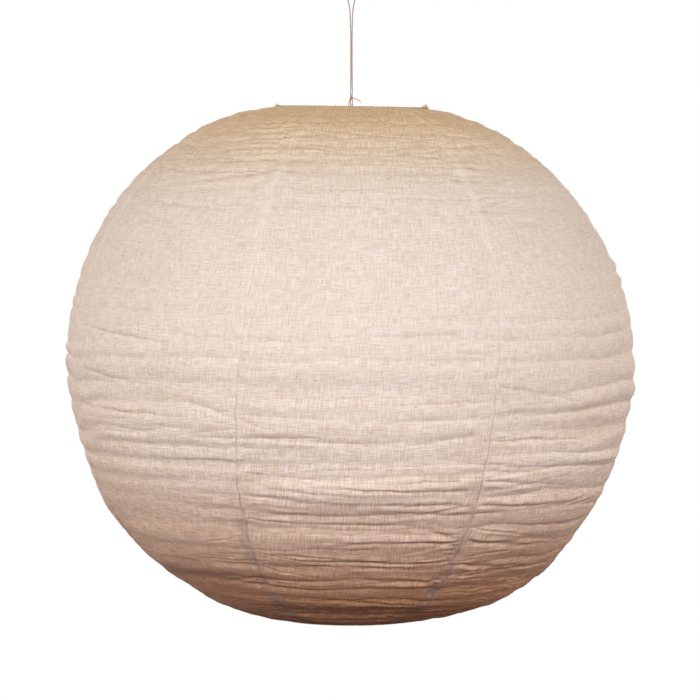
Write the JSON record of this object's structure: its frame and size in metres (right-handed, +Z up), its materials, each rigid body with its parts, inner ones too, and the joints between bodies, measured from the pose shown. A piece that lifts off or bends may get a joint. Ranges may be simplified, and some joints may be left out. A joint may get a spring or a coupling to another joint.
{
  "type": "hanging lantern",
  "caption": "Round ballooning cloth lantern of sewn gores over loose hoops, hung by a doubled twine from a wire crossbar; it folds flat.",
  "frame": {"origin": "top of the twine's loop, where a hook carries the lantern", "axes": "+Z up along the lantern's axis, -Y towards the viewer, +X to the viewer's right along the crossbar"},
  "size_m": [0.597, 0.597, 0.6654],
  "materials": {
    "cloth": "matt unbleached linen, plain weave",
    "cloth_binding": "matt linen, folded double and stitched",
    "twine": "matt twisted natural fibre",
    "bamboo": "split and scraped, unvarnished",
    "wire": "off-white coated steel wire"
  },
  "bodies": {
    "twine": {"hanging_twine": "twine"},
    "knot": {"twine_knot": "twine"},
    "shade": {"crossbar": "wire", "upper_ring": "wire", "upper_binding": "cloth_binding", "gore_1": "cloth", "gore_2": "cloth", "gore_3": "cloth", "gore_4": "cloth", "gore_5": "cloth", "gore_6": "cloth", "gore_7": "cloth"},
    "base": {"lower_ring": "wire", "lower_binding": "cloth_binding"},
    "hoop_01_body": {"hoop_01": "bamboo"},
    "hoop_02_body": {"hoop_02": "bamboo"},
    "hoop_03_body": {"hoop_03": "bamboo"},
    "hoop_04_body": {"hoop_04": "bamboo"},
    "hoop_05_body": {"hoop_05": "bamboo"},
    "hoop_06_body": {"hoop_06": "bamboo"},
    "hoop_07_body": {"hoop_07": "bamboo"},
    "hoop_08_body": {"hoop_08": "bamboo"},
    "hoop_09_body": {"hoop_09": "bamboo"},
    "hoop_10_body": {"hoop_10": "bamboo"},
    "hoop_11_body": {"hoop_11": "bamboo"},
    "hoop_12_body": {"hoop_12": "bamboo"},
    "hoop_13_body": {"hoop_13": "bamboo"},
    "hoop_14_body": {"hoop_14": "bamboo"},
    "hoop_15_body": {"hoop_15": "bamboo"},
    "hoop_16_body": {"hoop_16": "bamboo"},
    "hoop_17_body": {"hoop_17": "bamboo"},
    "hoop_18_body": {"hoop_18": "bamboo"},
    "hoop_19_body": {"hoop_19": "bamboo"},
    "hoop_20_body": {"hoop_20": "bamboo"},
    "hoop_21_body": {"hoop_21": "bamboo"},
    "hoop_22_body": {"hoop_22": "bamboo"},
    "hoop_23_body": {"hoop_23": "bamboo"},
    "hoop_24_body": {"hoop_24": "bamboo"},
    "hoop_25_body": {"hoop_25": "bamboo"},
    "hoop_26_body": {"hoop_26": "bamboo"},
    "hoop_27_body": {"hoop_27": "bamboo"},
    "hoop_28_body": {"hoop_28": "bamboo"},
    "hoop_29_body": {"hoop_29": "bamboo"},
    "hoop_30_body": {"hoop_30": "bamboo"},
    "hoop_31_body": {"hoop_31": "bamboo"},
    "hoop_32_body": {"hoop_32": "bamboo"},
    "hoop_33_body": {"hoop_33": "bamboo"},
    "hoop_34_body": {"hoop_34": "bamboo"}
  },
  "joints": [
    {"name": "spin", "type": "hinge", "parent": "twine", "child": "knot", "pos_m": [0, 0, -0.1145], "axis": [0, 0, 1], "continuous": true},
    {"name": "swing", "type": "hinge", "parent": "knot", "child": "shade", "pos_m": [0, 0, -0.1335], "axis": [0, 1, 0], "range_deg": [-20, 20]},
    {"name": "collapse", "type": "slide", "parent": "shade", "child": "base", "axis": [0, 0, 1], "range_m": [0, 0.4712], "deforming": ["gore_1", "gore_2", "gore_3", "gore_4", "gore_5", "gore_6", "gore_7"]},
    {"name": "fold_01", "type": "slide", "parent": "shade", "child": "hoop_01_body", "axis": [0, 0, 1], "range_m": [0, 0.0034]},
    {"name": "fold_02", "type": "slide", "parent": "shade", "child": "hoop_02_body", "axis": [0, 0, 1], "range_m": [0, 0.0089]},
    {"name": "fold_03", "type": "slide", "parent": "shade", "child": "hoop_03_body", "axis": [0, 0, 1], "range_m": [0, 0.0158]},
    {"name": "fold_04", "type": "slide", "parent": "shade", "child": "hoop_04_body", "axis": [0, 0, 1], "range_m": [0, 0.0241]},
    {"name": "fold_05", "type": "slide", "parent": "shade", "child": "hoop_05_body", "axis": [0, 0, 1], "range_m": [0, 0.0336]},
    {"name": "fold_06", "type": "slide", "parent": "shade", "child": "hoop_06_body", "axis": [0, 0, 1], "range_m": [0, 0.0444]},
    {"name": "fold_07", "type": "slide", "parent": "shade", "child": "hoop_07_body", "axis": [0, 0, 1], "range_m": [0, 0.0563]},
    {"name": "fold_08", "type": "slide", "parent": "shade", "child": "hoop_08_body", "axis": [0, 0, 1], "range_m": [0, 0.0694]},
    {"name": "fold_09", "type": "slide", "parent": "shade", "child": "hoop_09_body", "axis": [0, 0, 1], "range_m": [0, 0.0834]},
    {"name": "fold_10", "type": "slide", "parent": "shade", "child": "hoop_10_body", "axis": [0, 0, 1], "range_m": [0, 0.0983]},
    {"name": "fold_11", "type": "slide", "parent": "shade", "child": "hoop_11_body", "axis": [0, 0, 1], "range_m": [0, 0.1141]},
    {"name": "fold_12", "type": "slide", "parent": "shade", "child": "hoop_12_body", "axis": [0, 0, 1], "range_m": [0, 0.1307]},
    {"name": "fold_13", "type": "slide", "parent": "shade", "child": "hoop_13_body", "axis": [0, 0, 1], "range_m": [0, 0.148]},
    {"name": "fold_14", "type": "slide", "parent": "shade", "child": "hoop_14_body", "axis": [0, 0, 1], "range_m": [0, 0.1661]},
    {"name": "fold_15", "type": "slide", "parent": "shade", "child": "hoop_15_body", "axis": [0, 0, 1], "range_m": [0, 0.1848]},
    {"name": "fold_16", "type": "slide", "parent": "shade", "child": "hoop_16_body", "axis": [0, 0, 1], "range_m": [0, 0.2042]},
    {"name": "fold_17", "type": "slide", "parent": "shade", "child": "hoop_17_body", "axis": [0, 0, 1], "range_m": [0, 0.2246]},
    {"name": "fold_18", "type": "slide", "parent": "shade", "child": "hoop_18_body", "axis": [0, 0, 1], "range_m": [0, 0.247]},
    {"name": "fold_19", "type": "slide", "parent": "shade", "child": "hoop_19_body", "axis": [0, 0, 1], "range_m": [0, 0.2674]},
    {"name": "fold_20", "type": "slide", "parent": "shade", "child": "hoop_20_body", "axis": [0, 0, 1], "range_m": [0, 0.2868]},
    {"name": "fold_21", "type": "slide", "parent": "shade", "child": "hoop_21_body", "axis": [0, 0, 1], "range_m": [0, 0.3055]},
    {"name": "fold_22", "type": "slide", "parent": "shade", "child": "hoop_22_body", "axis": [0, 0, 1], "range_m": [0, 0.3236]},
    {"name": "fold_23", "type": "slide", "parent": "shade", "child": "hoop_23_body", "axis": [0, 0, 1], "range_m": [0, 0.3409]},
    {"name": "fold_24", "type": "slide", "parent": "shade", "child": "hoop_24_body", "axis": [0, 0, 1], "range_m": [0, 0.3575]},
    {"name": "fold_25", "type": "slide", "parent": "shade", "child": "hoop_25_body", "axis": [0, 0, 1], "range_m": [0, 0.3733]},
    {"name": "fold_26", "type": "slide", "parent": "shade", "child": "hoop_26_body", "axis": [0, 0, 1], "range_m": [0, 0.3882]},
    {"name": "fold_27", "type": "slide", "parent": "shade", "child": "hoop_27_body", "axis": [0, 0, 1], "range_m": [0, 0.4022]},
    {"name": "fold_28", "type": "slide", "parent": "shade", "child": "hoop_28_body", "axis": [0, 0, 1], "range_m": [0, 0.4153]},
    {"name": "fold_29", "type": "slide", "parent": "shade", "child": "hoop_29_body", "axis": [0, 0, 1], "range_m": [0, 0.4272]},
    {"name": "fold_30", "type": "slide", "parent": "shade", "child": "hoop_30_body", "axis": [0, 0, 1], "range_m": [0, 0.438]},
    {"name": "fold_31", "type": "slide", "parent": "shade", "child": "hoop_31_body", "axis": [0, 0, 1], "range_m": [0, 0.4475]},
    {"name": "fold_32", "type": "slide", "parent": "shade", "child": "hoop_32_body", "axis": [0, 0, 1], "range_m": [0, 0.4558]},
    {"name": "fold_33", "type": "slide", "parent": "shade", "child": "hoop_33_body", "axis": [0, 0, 1], "range_m": [0, 0.4627]},
    {"name": "fold_34", "type": "slide", "parent": "shade", "child": "hoop_34_body", "axis": [0, 0, 1], "range_m": [0, 0.4682]}
  ],
  "couplings": [
    {"joint": "fold_01", "follows": "collapse", "ratio": 0.00685},
    {"joint": "fold_02", "follows": "collapse", "ratio": 0.01856},
    {"joint": "fold_03", "follows": "collapse", "ratio": 0.03315},
    {"joint": "fold_04", "follows": "collapse", "ratio": 0.05062},
    {"joint": "fold_05", "follows": "collapse", "ratio": 0.07087},
    {"joint": "fold_06", "follows": "collapse", "ratio": 0.09376},
    {"joint": "fold_07", "follows": "collapse", "ratio": 0.11912},
    {"joint": "fold_08", "follows": "collapse", "ratio": 0.14677},
    {"joint": "fold_09", "follows": "collapse", "ratio": 0.17654},
    {"joint": "fold_10", "follows": "collapse", "ratio": 0.20826},
    {"joint": "fold_11", "follows": "collapse", "ratio": 0.24179},
    {"joint": "fold_12", "follows": "collapse", "ratio": 0.277},
    {"joint": "fold_13", "follows": "collapse", "ratio": 0.31377},
    {"joint": "fold_14", "follows": "collapse", "ratio": 0.35201},
    {"joint": "fold_15", "follows": "collapse", "ratio": 0.39167},
    {"joint": "fold_16", "follows": "collapse", "ratio": 0.43285},
    {"joint": "fold_17", "follows": "collapse", "ratio": 0.47614},
    {"joint": "fold_18", "follows": "collapse", "ratio": 0.52386},
    {"joint": "fold_19", "follows": "collapse", "ratio": 0.56715},
    {"joint": "fold_20", "follows": "collapse", "ratio": 0.60833},
    {"joint": "fold_21", "follows": "collapse", "ratio": 0.64799},
    {"joint": "fold_22", "follows": "collapse", "ratio": 0.68623},
    {"joint": "fold_23", "follows": "collapse", "ratio": 0.723},
    {"joint": "fold_24", "follows": "collapse", "ratio": 0.75821},
    {"joint": "fold_25", "follows": "collapse", "ratio": 0.79174},
    {"joint": "fold_26", "follows": "collapse", "ratio": 0.82346},
    {"joint": "fold_27", "follows": "collapse", "ratio": 0.85323},
    {"joint": "fold_28", "follows": "collapse", "ratio": 0.88088},
    {"joint": "fold_29", "follows": "collapse", "ratio": 0.90624},
    {"joint": "fold_30", "follows": "collapse", "ratio": 0.92913},
    {"joint": "fold_31", "follows": "collapse", "ratio": 0.94938},
    {"joint": "fold_32", "follows": "collapse", "ratio": 0.96685},
    {"joint": "fold_33", "follows": "collapse", "ratio": 0.98144},
    {"joint": "fold_34", "follows": "collapse", "ratio": 0.99315}
  ]
}
